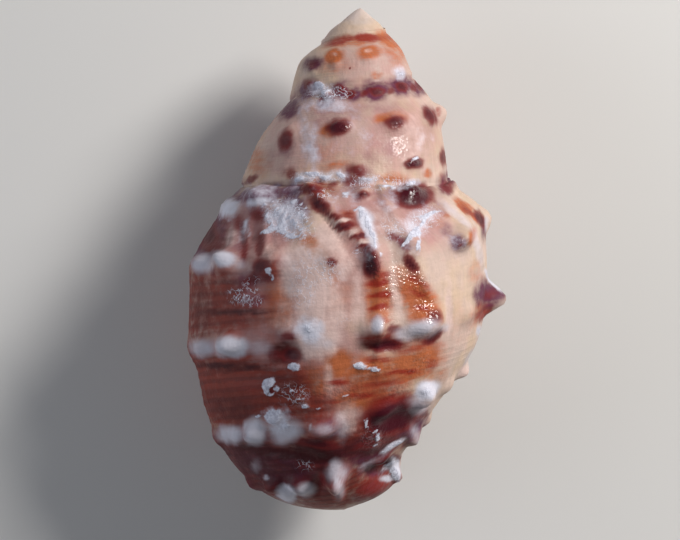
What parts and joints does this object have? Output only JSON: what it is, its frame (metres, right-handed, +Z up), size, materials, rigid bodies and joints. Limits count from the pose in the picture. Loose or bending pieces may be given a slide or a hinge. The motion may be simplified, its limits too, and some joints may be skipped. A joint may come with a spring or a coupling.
{
  "type": "knobbly sea snail shell",
  "caption": "Empty sea snail shell with a stepped spire, rings of low knobs, a rounded last whorl and a long oval mouth, lying on its mouth.",
  "frame": {"origin": "on the surface the shell lies on, under the middle of its bounding box", "axes": "+Y along the shell's axis towards the pointed top of the spire, +Z up out of the back of the shell, the mouth facing down with its lip on the -X side"},
  "size_m": [0.0322, 0.0502, 0.027],
  "materials": {
    "shell": "natural shell with a wet gloss: cream and pink ground, brown and violet zones, chalky crusts and dark spots between the knobs"
  },
  "bodies": {
    "root": {"shell": "shell"}
  },
  "joints": []
}
